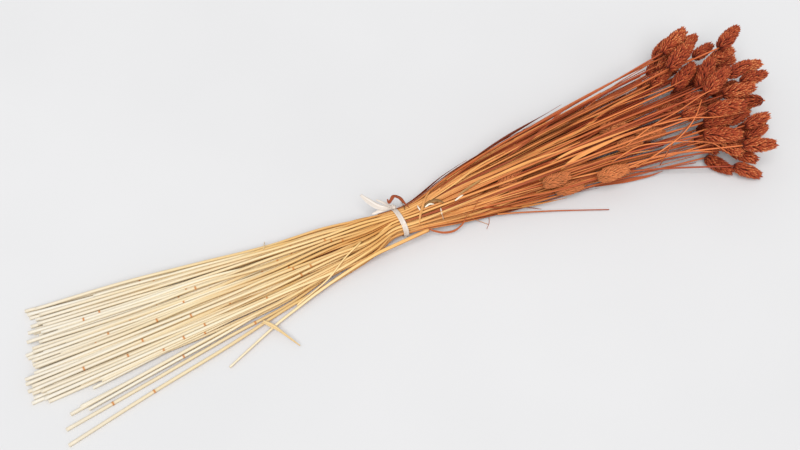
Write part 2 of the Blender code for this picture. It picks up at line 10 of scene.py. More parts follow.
import bpy
import numpy as np
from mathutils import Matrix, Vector


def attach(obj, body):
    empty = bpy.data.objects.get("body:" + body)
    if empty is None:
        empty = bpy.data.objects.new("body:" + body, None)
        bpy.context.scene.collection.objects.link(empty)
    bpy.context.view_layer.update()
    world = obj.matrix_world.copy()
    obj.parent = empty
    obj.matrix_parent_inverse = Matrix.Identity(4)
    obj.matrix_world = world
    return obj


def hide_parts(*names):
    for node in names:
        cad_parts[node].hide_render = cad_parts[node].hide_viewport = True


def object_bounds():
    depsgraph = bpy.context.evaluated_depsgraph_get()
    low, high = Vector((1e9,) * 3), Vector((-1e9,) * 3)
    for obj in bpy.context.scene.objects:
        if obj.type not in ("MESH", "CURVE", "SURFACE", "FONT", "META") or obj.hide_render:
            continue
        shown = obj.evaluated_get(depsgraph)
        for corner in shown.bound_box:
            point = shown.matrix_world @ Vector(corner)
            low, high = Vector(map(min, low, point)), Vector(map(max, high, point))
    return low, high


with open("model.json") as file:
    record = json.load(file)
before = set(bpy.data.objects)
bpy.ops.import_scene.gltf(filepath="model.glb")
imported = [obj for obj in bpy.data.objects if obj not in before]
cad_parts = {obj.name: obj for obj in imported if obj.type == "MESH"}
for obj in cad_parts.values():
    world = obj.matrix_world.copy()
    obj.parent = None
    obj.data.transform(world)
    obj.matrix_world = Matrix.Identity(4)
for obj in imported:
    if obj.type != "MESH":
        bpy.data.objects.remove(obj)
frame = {"nodes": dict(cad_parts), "record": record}
cad_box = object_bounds()

MM = 0.001
BODY = "root"
TIE = np.array(frame["record"]["mounts"][0]["pos_m"])
GOLDEN_ANGLE = math.radians(137.508)

# The camera, from the tie
CAMERA_AT = (-0.2120, -0.5285, 0.8190)
CAMERA_LOOKS_AT = (0.0019, 0.0037, 0.0)
CAMERA_LENS = 50

# A broad light from the camera's side, an even white room and the table
KEY_FROM = (-0.45, -0.75, 1.4)
KEY_WIDTH = math.radians(45)
KEY_STRENGTH = 2.5
ROOM_STRENGTH = 0.56
FLOOR_HALF = 4.0
FLOOR_PAINT = ((213, 213, 214), (217, 217, 218))

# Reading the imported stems: each ring has its points at one x
RING_POINTS = 5
SAME_PLANE = 3e-6
RIDGE = 1.07

# Straws: sides and the distance between rings, the swelling of a joint, the hollow at a cut
STRAW_SIDES = 10
STRAW_STEP = 7 * MM
JOINT_SWELL = 0.16
JOINT_LENGTH = 0.9 * MM
JOINT_RINGS = np.array((-2.2, -1.1, -0.5, 0.0, 0.5, 1.1, 2.2)) * MM
CUT_WALL = 0.55
CUT_DEPTH = 4 * MM
CUT_SPOTS = (0.9, 0.4)

# Seed heads: how many scales one of typical length has, and their sizes
SPIKELETS = 300
TYPICAL_HEAD = 34 * MM
SPIKELET_LENGTH = 5.0 * MM
SPIKELET_HALF_WIDTH = 0.95 * MM
SPIKELET_KEEL = 0.65 * MM
HEAD_OUTLINE = (
    (-0.05, 0.20), (0.0, 0.36), (0.04, 0.60), (0.12, 0.82), (0.25, 0.97), (0.42, 1.0), (0.60, 0.92),
    (0.75, 0.76), (0.88, 0.55), (0.97, 0.36), (1.10, 0.16),
)
# A spikelet's stations: share of its length, half width and height of its keel
SPIKELET_FORM = ((0.0, 0.70, 0.50), (0.45, 1.0, 1.0), (0.80, 0.62, 0.65))
# A spikelet's section: sideways in half widths and up in keel heights, turning left
SPIKELET_SECTION = ((0.0, 1.0), (0.75, 0.45), (1.0, -0.25), (-1.0, -0.25), (-0.75, 0.45))
# The heads among the stems, which nothing but those stems hides, have their feet this near the tie
INNER_HEADS = 245 * MM

# Straws and leaves without heads between the stems. EDGE_STEMS are those of the heads
# furthest to +Y, and EDGE_SHARE is how many of the fine straws lie among them.
FILLER_GROUPS = 4
LONG_STRAWS = 40
DARK_STRAWS = 24
FINE_STRAWS = 112
LOW_STRAWS = 72
INNER_LEAVES = 60
LOW_LEAVES = 28
NEIGHBOURS = 45 * MM
# Low pieces keep off the stems furthest to -Y, and sink from the tie to this distance from it
BARE_STEMS = 12
SUNK_AT = 160 * MM
EDGE_STEMS = 14
EDGE_SHARE = 0.35

# How much of the height just over the table is squeezed, and the gap that stays
PRESSED_BELOW = 1.0 * MM
TABLE_GAP = 0.1 * MM

# Straws laid over the others: radius at both ends, tone, tightness, sunk ends, route from the tie
CROSSING_STRAWS = (
    (0.75, 0.40, 0.15, 60, (3, 0),
     ((180, 8, 50), (211, 15, 56), (247, 17, 56), (285, 20, 56), (306, 26, 56))),
    (0.70, 0.45, 0.10, 60, (3, 0),
     ((205, -26, 52), (235, -18, 58), (267, -11, 58), (299, -2, 58), (323, 2, 58))),
    (0.80, 0.45, 0.05, 60, (3, 0),
     ((200, -12, 50), (244, -17, 56), (273, -21, 56), (293, -28, 56), (328, -34, 56))),
    (0.80, 0.50, 0.10, 60, (3, 0),
     ((204, -49, 50), (232, -45, 58), (250, -39, 58), (277, -23, 58), (293, -7, 58))),
    (0.60, 0.40, 0.25, 60, (2, 0), ((225, -54, 50), (243, -43, 62), (266, -31, 62), (291, -23, 62))),
    (0.75, 0.45, 0.10, 50, (2, 0),
     ((190, -32, 45), (214, -34, 58), (234, -38, 58), (267, -50, 58), (283, -59, 58))),
    (0.60, 0.40, 0.15, 40, (2, 1), ((258, -44, 50), (278, -48, 50), (289, -69, 50))),
    (0.60, 0.40, 0.20, 40, (2, 1), ((205, -34, 30), (237, -36, 36), (276, -46, 36), (284, -50, 36))),
    (0.60, 0.40, 0.60, 40, (2, 0), ((200, 38, 36), (232, 49, 40), (275, 61, 40))),
    (0.90, 0.70, 0.10, 8, (0, 0), ((-112, -45, 6), (-77, -33, 14), (-59, -23, 20), (-41, -13, 20))),
    (0.32, 0.22, 0.20, 3, (1, 0),
     ((35, -19, 24), (45, -20, 24), (53, -21, 24), (57, -26, 22), (71, -34, 14))),
    (0.28, 0.18, 0.80, 3, (0, 0), ((76, -25, 10), (75, -28, 8), (71, -32, 4))),
    (0.35, 0.20, 0.95, 3, (0, 0), ((57, -26, 26), (64, -20, 28), (70, -14, 28))),
    (0.45, 0.25, 0.30, 0, (0, 0), ((-121, 19, 8), (-118, 26, 8))),
)
# Kinds of leaf: the places of their materials
LEAF_KIND, OLIVE_KIND, WHITE_AND_HIGHLIGHT_KIND, RUST_KIND = 1, 2, 3, 4
# Leaves laid on top: half width, tone, kind, sunk ends, route from the tie
TOP_LEAVES = (
    (1.7, 0.05, LEAF_KIND, (2, 2),
     ((60, 4, 26), (78, 6, 30), (127, 12, 30), (162, 17, 30), (185, 21, 30))),
    (1.5, 0.15, LEAF_KIND, (2, 1),
     ((158, 10, 38), (192, 18, 38), (217, 28, 38), (250, 35, 38), (263, 37, 38))),
    (1.3, 0.10, LEAF_KIND, (3, 2), ((140, -4, 30), (166, -1, 34), (197, 1, 34), (240, 3, 34))),
    (2.1, 0.10, LEAF_KIND, (3, 0), ((150, -14, 32), (169, -10, 36), (193, -6, 36), (225, -3, 36))),
    (1.2, 0.35, LEAF_KIND, (1, 1), ((80, -17, 8), (110, -24, 8), (136, -28, 8), (152, -30, 8))),
    (1.2, 0.50, LEAF_KIND, (0, 0),
     ((12, -16, 20), (16, -9, 25), (21, -2, 26), (27, 6, 26), (36, 14, 24))),
    (1.1, 0.50, RUST_KIND, (1, 1), ((105, 18, 26), (154, 35, 28), (183, 49, 28), (217, 57, 30))),
    (1.0, 0.20, RUST_KIND, (1, 1), ((44, 12, 24), (70, 22, 26), (96, 30, 28), (128, 36, 28))),
    (1.2, 0.30, RUST_KIND, (1, 1), ((60, -16, 20), (84, -22, 18), (104, -26, 14), (124, -34, 10))),
    (1.0, 0.10, LEAF_KIND, (1, 1), ((30, 2, 26), (56, 9, 28), (90, 20, 30), (120, 25, 30))),
)
# Small scraps: half width, tone, kind, how high they arch, the way they face, route from the tie
CURLS = (
    (1.5, 0.70, OLIVE_KIND, 1.5, (0, -0.2, 1),
     ((21, -4, 27), (28, -2, 29), (35, -2, 28), (40, -5, 26))),
    # This white strip over the olive curl above is a painted highlight on that curl
    (0.8, 0.10, WHITE_AND_HIGHLIGHT_KIND, 2.0, (0, -0.4, 1), ((22, -5, 28), (27, -4, 29), (31, -5, 28))),
    (0.8, 0.05, WHITE_AND_HIGHLIGHT_KIND, 1.0, (0.6, 0, 1), ((35, -10, 27), (34, -15, 26), (34, -20, 22))),
    (0.75, 0.25, WHITE_AND_HIGHLIGHT_KIND, 1.5, (0.2, -0.6, 1), ((49, -9, 29), (54, -7, 29), (59, -5, 28))),
    (0.7, 0.10, WHITE_AND_HIGHLIGHT_KIND, 0.8, (0.2, -0.4, 1), ((17, 0, 27), (17, -3, 27), (18, -7, 26))),
    (0.5, 0.90, OLIVE_KIND, 0.5, (0.2, -0.4, 1), ((5, 11, 30), (6, 6, 26), (6, 2, 23))),
    (0.9, 0.30, OLIVE_KIND, 1.0, (0, -0.3, 1), ((54, -4, 28), (62, -1, 28), (72, 2, 28), (84, 6, 28))),
)

# The ribbon round the stems: its turns' offset, lean, room and half width
TIE_HALF_WIDTH = 13.8
TIE_HALF_HEIGHT = 10.5
TIE_MIDDLE = 10.3
BAND_LOWEST = 0.45
BAND_LAP = 0.25
BANDS = ((-1.5, -1.5, 0.35, 1.25), (0.5, -1.8, 0.75, 1.15), (-0.5, -1.2, 0.95, 0.5))
KNOT_HALF = 1.2 * MM
KNOT_TURNS = (
    ((-1.6, 11.0, 20.0), (1.9, 1.7), 0.5),
    ((-2.0, 11.5, 20.5), (1.5, 1.8), 1.6),
    ((-1.0, 10.6, 20.2), (1.7, 1.5), 2.5),
)
TAILS = (
    ((1.2, 2.0, 2.8, 2.6, 1.2), (0.3, -0.5, 1),
     ((-2, 11, 20), (-8, 10, 23), (-15, 13, 25), (-21, 20, 27), (-26, 28, 29))),
    ((1.0, 1.4, 1.3, 0.7), (0.4, -0.4, 1),
     ((-2, 10, 20), (-6, 11.5, 24), (-10, 14, 27), (-15, 18, 29))),
    ((1.0, 1.5, 1.6, 0.8), (0.2, -0.7, 1), ((-1, 11, 20), (-7, 10, 22), (-14, 10, 22), (-22, 10, 21))),
)

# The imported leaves: route, half widths, the way they face, kind and tone
LOOSE_LEAVES = (
    ("leaf_blade",
     ((184, -22, 2), (198, -24, 2), (212, -27, 3), (226, -29, 3), (238, -31, 4), (248, -32, 6)),
     (0.5, 1.3, 1.9, 1.7, 1.0, 0.2), (0, -0.3, 1), RUST_KIND, 0.2),
    ("leaf_curl", ((-7, 4, 2), (-7, 1, 0), (-4, 3, 1), (-1, 5, 2), (3, 3, 1), (6, -3, -1), (9, -8, -4)),
     (0.6, 1.3, 1.8, 2.1, 1.8, 0.9, 0.3), (0.2, 0.3, 1), RUST_KIND, 0.8),
    ("leaf_loop",
     ((20, -16, 11), (27, -20, 8), (35, -23, 6), (43, -24, 6), (51, -22, 8), (58, -17, 12)),
     (0.5, 0.9, 1.1, 1.1, 0.8, 0.3), (0, -1, 0.4), RUST_KIND, 0.3),
    ("leaf_folded", ((-144, -48, 3), (-140, -53, 4), (-136, -58, 3.4), (-129, -69, 2.2), (-122, -81, 1.2)),
     (1.8, 2.0, 1.1, 0.9, 0.4), (0.2, 0, 1), LEAF_KIND, 0.3),
)
LOOSE_STUB = (361, -13, 34)
LOOSE_STUB_LENGTH = 2 * MM

# The share of a laid leaf or straw that dips between the stems at a sunk end
SUNK_SHARE = 0.2

# A leaf's thickness, its half width along it as shares of its widest, and how many are rust
LEAF_THICK = 0.22 * MM
LEAF_TAPER = (0.35, 0.75, 1.0, 0.95, 0.75, 0.45, 0.06)
RUST_SHARE = 0.4
# Where from the tie a stem has its joints, and how many of them show
JOINT_SPANS = ((-0.30, -0.17), (-0.15, -0.05), (0.03, 0.18))
JOINTS_SHOWN = 0.65


def unit(vectors):
    vectors = np.asarray(vectors, float)
    return vectors / np.linalg.norm(vectors, axis=-1, keepdims=True)


def from_tie(points):
    """Points in millimetres from the tie, on the table, as places in metres."""
    return TIE + np.asarray(points, float) * MM


def seen_at(place, z):
    """Where the camera's line of sight through a place is at height z."""
    eye = TIE + CAMERA_AT
    return eye + (place - eye) * (eye[2] - z) / (eye[2] - place[2])


def curve_through(at, points, wanted):
    """Reads a smooth curve through the points, which lie at the places at, at the wanted places."""
    slope = np.gradient(points, at, axis=0)
    low = np.clip(np.searchsorted(at, wanted) - 1, 0, len(at) - 2)
    step = (at[low + 1] - at[low])[:, None]
    t = (wanted[:, None] - at[low][:, None]) / step
    near = (2 * t ** 3 - 3 * t ** 2 + 1) * points[low] + (t ** 3 - 2 * t ** 2 + t) * slope[low] * step
    far = (3 * t ** 2 - 2 * t ** 3) * points[low + 1] + (t ** 3 - t ** 2) * slope[low + 1] * step
    return near + far


def pressed(points):
    """The points with those that come close to the table, or would sink into it, pressed flat."""
    room = PRESSED_BELOW - TABLE_GAP
    low = points[:, 2] < PRESSED_BELOW
    points[low, 2] = TABLE_GAP + room * np.exp((points[low, 2] - PRESSED_BELOW) / room)
    return points


def lengths_along(path):
    return np.concatenate([[0], np.cumsum(np.linalg.norm(np.diff(path, axis=0), axis=1))])


def smooth_path(points, count):
    """count points on a smooth curve through a few points."""
    points = np.asarray(points, float)
    length = lengths_along(points)
    return curve_through(length, points, np.linspace(0, length[-1], count))


def frames_along(path, up=(0, 0, 1)):
    """At each point of a path the unit vectors ahead, up and to the side."""
    ahead = unit(np.gradient(path, axis=0))
    above = np.empty_like(path)
    vector = np.array(up, float)
    for i, way in enumerate(ahead):
        vector = unit(vector - way * (vector @ way))
        above[i] = vector
    return ahead, above, np.cross(ahead, above)


class Shape:
    """The points and faces of one piece, with marks at each point that its materials read.

    tone is a random number for each straw or scale, part runs from 0 to 1 along it, spot marks
    joints, under is 0 on top and 1 below and places the painted shade on undersides, reach is the
    distance from the tie towards the heads, and grain runs along the fibres.
    """

    MARKS = ("tone", "part", "spot", "under", "reach")

    def __init__(self):
        self.points = []
        self.faces = []
        self.kinds = []
        self.marks = {name: [] for name in self.MARKS}
        self.grain = []
        self.count = 0

    def loft(self, rings, grain, tone=0.5, part=0.0, spot=0.0, under=0.0, kind=0, tip=None):
        """Closed body through rings of points, each ring turning left about the way ahead."""
        rows, sides = rings.shape[:2]
        points = rings.reshape(-1, 3)
        index = self.count + np.arange(rows * sides).reshape(rows, sides)
        beside = np.roll(index, -1, axis=1)
        quads = np.stack([index[:-1], beside[:-1], beside[1:], index[1:]], axis=-1).reshape(-1, 4)
        faces = [tuple(quad) for quad in quads.tolist()]
        faces.append(tuple(index[0][::-1].tolist()))
        columns = {}
        for name, value in (("tone", tone), ("part", part), ("spot", spot), ("under", under)):
            value = np.asarray(value, float)
            value = value[:, None] if value.ndim == 1 else value
            columns[name] = np.broadcast_to(value, (rows, sides)).reshape(-1)
        grain = np.broadcast_to(grain, (rows, sides, 3)).reshape(-1, 3)
        if tip is None:
            faces.append(tuple(index[-1].tolist()))
        else:
            apex = self.count + rows * sides
            faces += [(one, other, apex) for one, other in zip(index[-1].tolist(), beside[-1].tolist())]
            points = np.vstack([points, tip])
            grain = np.vstack([grain, grain[-1]])
            columns = {name: np.append(column, column[-1]) for name, column in columns.items()}
            columns["part"][-1] = 1.0
        self.points.append(points)
        self.faces += faces
        self.kinds += [kind] * len(faces)
        self.grain.append(grain)
        columns["reach"] = points[:, 0] - TIE[0]
        for name in self.MARKS:
            self.marks[name].append(columns[name])
        self.count += len(points)

    def build(self, name, materials, replaced=()):
        """The piece itself, riding on the bunch."""
        mesh = bpy.data.meshes.new(name)
        mesh.from_pydata(pressed(np.vstack(self.points)), [], self.faces)
        for mark in self.MARKS:
            values = np.concatenate(self.marks[mark]).astype(np.float32)
            mesh.attributes.new(mark, "FLOAT", "POINT").data.foreach_set("value", values)
        grain = np.vstack(self.grain).astype(np.float32)
        mesh.attributes.new("grain", "FLOAT_VECTOR", "POINT").data.foreach_set("vector", grain.ravel())
        for one in materials:
            mesh.materials.append(one)
        mesh.polygons.foreach_set("material_index", self.kinds)
        mesh.shade_smooth()
        mesh.update()
        piece = bpy.data.objects.new(name, mesh)
        bpy.context.scene.collection.objects.link(piece)
        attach(piece, BODY)
        if replaced:
            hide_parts(*replaced)
        return piece


def node_points(name):
    """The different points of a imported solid."""
    found = np.array([vertex.co for vertex in frame["nodes"][name].data.vertices])
    return np.unique(np.round(found, 6), axis=0)


def stem_rings(points):
    """The middles and radii of a stem's rings, which each lie at one x, and the points left over."""
    points = points[np.argsort(points[:, 0], kind="stable")]
    starts = np.where(np.diff(points[:, 0]) > SAME_PLANE)[0] + 1
    middles, radii, rest = [], [], []
    for group in np.split(points, starts):
        if len(group) == RING_POINTS:
            middle = group.mean(axis=0)
            middles.append(middle)
            radii.append(np.linalg.norm(group - middle, axis=1).mean())
        else:
            rest.append(group)
    return np.array(middles), np.array(radii), np.vstack(rest) if rest else np.zeros((0, 3))


class Stem:
    """The line and radius of a packed stem or straw."""

    def __init__(self, name):
        self.name = name
        self.middles, self.radii, self.rest = stem_rings(node_points(name))
        self.low = self.middles[0, 0]
        self.high = self.middles[-1, 0]
        steps = np.diff(self.middles, axis=0)
        self.slopes = steps / steps[:, :1]

    def line(self, x):
        """The stem's middle at each x, carried on straight past its ends."""
        inside = np.clip(x, self.low, self.high)
        slope = np.where((x > inside)[:, None], self.slopes[-1], self.slopes[0])
        return curve_through(self.middles[:, 0], self.middles, inside) + (x - inside)[:, None] * slope

    def radius(self, x):
        return np.interp(x, self.middles[:, 0], self.radii)


class Head:
    """A packed seed head: its foot, the way it points, its length and its greatest radius."""

    def __init__(self, foot, points):
        away = points - foot
        tip = away[np.argmax(np.linalg.norm(away, axis=1))]
        self.foot = foot
        self.length = np.linalg.norm(tip)
        self.axis = tip / self.length
        off = away - np.outer(away @ self.axis, self.axis)
        self.radius = np.linalg.norm(off, axis=1).max() / RIDGE


def head_width(share):
    at, wide = zip(*HEAD_OUTLINE)
    return np.interp(share, at, wide)


def straw_grain(along, angles, seed):
    """Coordinates that run along a straw and round it."""
    grain = np.empty((len(along), len(angles), 3))
    grain[..., 0] = along[:, None] + seed
    grain[..., 1] = np.cos(angles)
    grain[..., 2] = np.sin(angles)
    return grain


def underside(angles):
    """0 on top of a straw and 1 below it, where the materials paint shade."""
    return (1 - np.cos(angles))[None] / 2


def round_rings(path, radii, sides, up=(0, 0, 1), hollow=0.0):
    """Round rings along a path, their angles, and before them the inside of a hollow end."""
    ahead, above, beside = frames_along(path, up)
    if hollow:
        path = np.vstack([path[0] + ahead[0] * hollow, path[:1], path])
        radii = np.concatenate([[radii[0] * CUT_WALL * 0.8, radii[0] * CUT_WALL], radii])
        above = np.vstack([above[[0, 0]], above])
        beside = np.vstack([beside[[0, 0]], beside])
    angles = np.arange(sides) * 2 * math.pi / sides
    out = above[:, None] * np.cos(angles)[None, :, None] + beside[:, None] * np.sin(angles)[None, :, None]
    return path[:, None] + out * radii[:, None, None], angles


def add_straw(shape, line, radius, length, random, joints=(), tone=None):
    """A straw along line, a function of the share of its length, with swollen joints."""
    share = np.linspace(0, 1, max(int(length / STRAW_STEP), 6))
    joints = [joint / length for joint in joints if joint < length]
    share = np.unique(np.concatenate([share, *(joint + JOINT_RINGS / length for joint in joints)]))
    share = share[(share >= 0) & (share <= 1)]
    radii = radius(share)
    spot = np.zeros(len(share))
    for joint in joints:
        near = np.exp(-((share - joint) * length / JOINT_LENGTH) ** 2)
        radii = radii * (1 + JOINT_SWELL * near)
        spot = np.maximum(spot, near)
    rings, angles = round_rings(line(share), radii, STRAW_SIDES, hollow=CUT_DEPTH)
    spot = np.concatenate([CUT_SPOTS, spot])
    share = np.concatenate([np.zeros(len(CUT_SPOTS)), share])
    tone = random.uniform() if tone is None else tone
    grain = straw_grain(share * length, angles, random.uniform(0, 50))
    shape.loft(rings, grain, tone, share, spot, underside(angles))


def add_head(shape, head, random):
    """A seed head: flat, keeled spikelets in a spiral, each lying over the ones above it."""
    _, above, beside = (vector[0] for vector in frames_along(np.array([head.foot, head.foot + head.axis])))
    # The core under the scales takes the darkest foot colour, as painted shade in the gaps between scales
    core = np.linspace(0.0, 0.95, 9)
    core_path = head.foot + np.outer(core * head.length, head.axis)
    rings, angles = round_rings(core_path, head_width(core) * head.radius * 0.70, 12)
    shape.loft(rings, straw_grain(core, angles, 0.0), 0.3, 0.0)
    form = np.array(SPIKELET_FORM)
    sideways, upward = np.array(SPIKELET_SECTION).T
    stations = np.append(form[:, 0], 1.0)
    count = int(SPIKELETS * head.length / TYPICAL_HEAD)
    scale = math.sqrt(head.length / TYPICAL_HEAD)
    turn = random.uniform(0, 2 * math.pi)
    bright = random.uniform()
    for index in range(count):
        share = (index + 0.5) / count
        angle = turn + index * GOLDEN_ANGLE + random.normal(0, 0.10)
        size = scale * (0.62 + 0.38 * min(share / 0.25, 1.0)) * random.uniform(0.85, 1.15)
        long = SPIKELET_LENGTH * size * (1 + 0.3 * share ** 3)
        splay = random.normal(0.17, 0.07) + 0.10 * share
        at = (-0.03 + 0.85 * share) * head.length + long * stations * 0.96
        off = head.radius * head_width(at / head.length) * (0.66 + 0.34 * stations ** 0.7)
        off = off + long * splay * stations ** 2
        out = above * math.cos(angle) + beside * math.sin(angle)
        side = np.cross(head.axis, out)
        middle = head.foot + np.outer(at, head.axis) + np.outer(off, out)
        ahead = unit(np.gradient(middle, axis=0))
        raised = unit(out - ahead * (ahead @ out)[:, None])[:-1]
        half = form[:, 1] * SPIKELET_HALF_WIDTH * size
        keel = form[:, 2] * SPIKELET_KEEL * size
        rings = middle[:-1, None] + side * (half[:, None] * sideways)[..., None]
        rings = rings + raised[:, None] * (keel[:, None] * upward)[..., None]
        grain = np.empty((len(form), len(sideways), 3))
        grain[..., 0] = index + form[:, :1]
        grain[..., 1] = sideways
        grain[..., 2] = upward
        shape.loft(rings, grain, random.uniform(), form[:, 0], bright, tip=middle[-1])


def add_strip(
    shape, path, half_widths, faces, random, thick=LEAF_THICK, fold=0.35, kind=1, twist=0.0, **marks
):
    """A leaf: a thin strip with a fold along its middle. faces is the way its top looks."""
    ahead = unit(np.gradient(path, axis=0))
    faces = np.broadcast_to(faces, path.shape)
    top = unit(faces - ahead * np.sum(ahead * faces, axis=1, keepdims=True))
    side = np.cross(ahead, top)
    turn = (np.asarray(twist, float) * np.ones(len(path)))[:, None]
    top, side = top * np.cos(turn) + side * np.sin(turn), side * np.cos(turn) - top * np.sin(turn)
    half = np.interp(np.linspace(0, 1, len(path)), np.linspace(0, 1, len(half_widths)), half_widths)
    across = np.array((-1.0, -0.5, 0.0, 0.5, 1.0))
    sag = fold * (1 - np.abs(across))
    upper = path[:, None] + side[:, None] * (half[:, None] * across)[..., None]
    upper = upper - top[:, None] * (half[:, None] * sag)[..., None]
    lower = upper - top[:, None] * thick
    rings = np.concatenate([upper, lower[:, ::-1]], axis=1)
    length = lengths_along(path)
    grain = np.empty((*rings.shape[:2], 3))
    grain[..., 0] = length[:, None] + random.uniform(0, 50)
    grain[..., 1] = np.concatenate([across, across[::-1]]) * 1.5
    grain[..., 2] = 0.2
    marks.setdefault("tone", random.uniform())
    under = np.repeat((0.0, 1.0), len(across))[None]
    shape.loft(rings, grain, part=length / length[-1], under=under, kind=kind, **marks)


class Top:
    """The upper surface of the stems and heads, on which loose pieces lie."""

    STEP = 4 * MM
    BALLS = 9
    HIGHEST = 76 * MM

    def __init__(self, stems, heads):
        self.x = np.arange(cad_box[0][0], cad_box[1][0], self.STEP)
        self.y, self.z = [], []
        for stem in stems:
            line = stem.line(self.x)
            beyond = (self.x < stem.low) | (self.x > stem.high)
            self.y.append(np.where(beyond, np.inf, line[:, 1]))
            self.z.append(line[:, 2] + stem.radius(self.x))
        self.y, self.z = np.array(self.y), np.array(self.z)
        shares = (np.arange(self.BALLS) + 0.5) / self.BALLS
        self.balls = np.vstack([head.foot + np.outer(shares * head.length, head.axis) for head in heads])
        self.sizes = np.concatenate([head.radius * head_width(shares) for head in heads])

    def height(self, x, y, reach=2.2 * MM):
        """The greatest height within reach of that place, or the table."""
        column = int(np.clip(round((x - self.x[0]) / self.STEP), 0, len(self.x) - 1))
        near = np.abs(self.y[:, column] - y) < reach
        tops = [0.0, *self.z[near, column]]
        away = np.hypot(self.balls[:, 0] - x, self.balls[:, 1] - y)
        over = away < self.sizes
        tops += list(self.balls[over, 2] + np.sqrt(self.sizes[over] ** 2 - away[over] ** 2))
        return max(tops)

    def under(self, place, clear):
        """The place on the bunch or the table that the camera sees where it sees the given place."""
        for z in np.arange(self.HIGHEST, 0, -MM):
            seen = seen_at(place, z)
            if z <= self.height(seen[0], seen[1]) + clear:
                return seen
        return seen_at(place, clear)

    def lay(self, route, count, clear=0.9 * MM, rounds=4, sunk=(0, 0)):
        """A smooth path over the bunch along a route in millimetres from the tie.

        The more rounds, the tighter it spans from one high place to the next. sunk tells how deep,
        in millimetres, its two ends lie between the stems.
        """
        path = smooth_path(from_tie(route), count)
        least = np.array([self.under(place, clear)[2] for place in path])
        z = least.copy()
        for _ in range(rounds):
            z[1:-1] = np.maximum(least[1:-1], (z[:-2] + z[2:]) / 2)
            z[0] = max(least[0], 2 * z[1] - z[2]) if rounds > 10 else z[0]
        for _ in range(3):
            z[1:-1] = (z[:-2] + 2 * z[1:-1] + z[2:]) / 4
        share = np.linspace(0, 1, count)
        for depth, from_end in zip(sunk, (share, 1 - share)):
            z -= depth * MM * np.clip(1 - from_end / SUNK_SHARE, 0, 1)
        return np.array([seen_at(place, max(height, clear)) for place, height in zip(path, z)])


def colour(red, green, blue):
    """The linear colour of one given as 0 to 255, as on a screen."""
    value = np.array((red, green, blue)) / 255
    linear = np.where(value <= 0.04045, value / 12.92, ((value + 0.055) / 1.055) ** 2.4)
    return (*linear, 1.0)


class Finish:
    """A material being wired: a principled shader and the nodes that drive it."""

    def __init__(self, name):
        self.material = bpy.data.materials.new(name)
        self.material.use_nodes = True
        self.nodes = self.material.node_tree.nodes
        self.links = self.material.node_tree.links
        self.shader = self.nodes["Principled BSDF"]

    def add(self, kind, inputs=None, **settings):
        node = self.nodes.new(kind)
        for name, value in settings.items():
            setattr(node, name, value)
        for socket, value in (inputs or {}).items():
            self.put(node.inputs[socket], value)
        return node

    def put(self, socket, value):
        if isinstance(value, bpy.types.NodeSocket):
            self.links.new(value, socket)
        else:
            socket.default_value = value

    def skin(self, paint, rough):
        self.put(self.shader.inputs["Base Color"], paint)
        self.put(self.shader.inputs["Roughness"], rough)

    def mark(self, name):
        return self.add("ShaderNodeAttribute", attribute_name=name, attribute_type="GEOMETRY")

    def ramp(self, value, stops):
        node = self.add("ShaderNodeValToRGB", {"Fac": value})
        elements = node.color_ramp.elements
        for index, (place, paint) in enumerate(stops):
            element = elements[index] if index < 2 else elements.new(place)
            element.position = place
            element.color = paint
        return node.outputs["Color"]

    def remap(self, value, low, high, to_low=0.0, to_high=1.0):
        inputs = {"Value": value, "From Min": low, "From Max": high, "To Min": to_low, "To Max": to_high}
        return self.add("ShaderNodeMapRange", inputs).outputs["Result"]

    def noise(self, vector, scale, stretch=(1, 1, 1), detail=3.0, rough=0.55):
        mapped = self.add("ShaderNodeMapping", {"Vector": vector, "Scale": stretch})
        inputs = {"Vector": mapped.outputs["Vector"], "Scale": scale, "Detail": detail, "Roughness": rough}
        return self.add("ShaderNodeTexNoise", inputs).outputs["Fac"]

    def plus(self, one, other):
        return self.add("ShaderNodeMath", {0: one, 1: other}, operation="ADD").outputs["Value"]

    def mix(self, share, one, other):
        node = self.add("ShaderNodeMix", data_type="RGBA")
        self.put(node.inputs["Factor"], share)
        colours = [socket for socket in node.inputs if socket.type == "RGBA"]
        self.put(colours[0], one)
        self.put(colours[1], other)
        return next(socket for socket in node.outputs if socket.type == "RGBA")

    def bump(self, height, distance, strength=1.0):
        inputs = {"Height": height, "Distance": distance, "Strength": strength}
        node = self.add("ShaderNodeBump", inputs)
        self.links.new(node.outputs["Normal"], self.shader.inputs["Normal"])


# Colours along the bunch, at distances in metres from the tie towards the heads
REACH = (-0.33, 0.33)
STRAW_LIGHT = (
    (-0.32, (225, 219, 206)), (-0.20, (230, 222, 200)), (-0.11, (239, 219, 172)), (-0.03, (240, 198, 126)),
    (0.06, (238, 170, 98)), (0.20, (234, 142, 78)), (0.32, (226, 122, 68)),
)
STRAW_DARK = (
    (-0.32, (222, 211, 190)), (-0.20, (224, 204, 162)), (-0.11, (218, 178, 112)), (-0.03, (204, 142, 72)),
    (0.06, (186, 92, 42)), (0.20, (166, 68, 34)), (0.32, (150, 53, 30)),
)
# Painted shade: the colours that the undersides of straws turn to
STRAW_UNDER_SHADE = (
    (-0.32, (224, 206, 172)), (-0.20, (208, 172, 116)), (-0.11, (190, 130, 66)), (-0.03, (168, 95, 41)),
    (0.06, (136, 56, 24)), (0.20, (108, 37, 19)), (0.32, (92, 28, 17)),
)
LEAF_LIGHT = (
    (-0.20, (236, 218, 176)), (-0.05, (240, 204, 138)), (0.10, (240, 176, 102)), (0.30, (230, 136, 74)),
)
LEAF_DARK = (
    (-0.20, (216, 178, 118)), (-0.05, (206, 142, 74)), (0.10, (192, 106, 48)), (0.30, (160, 74, 32)),
)
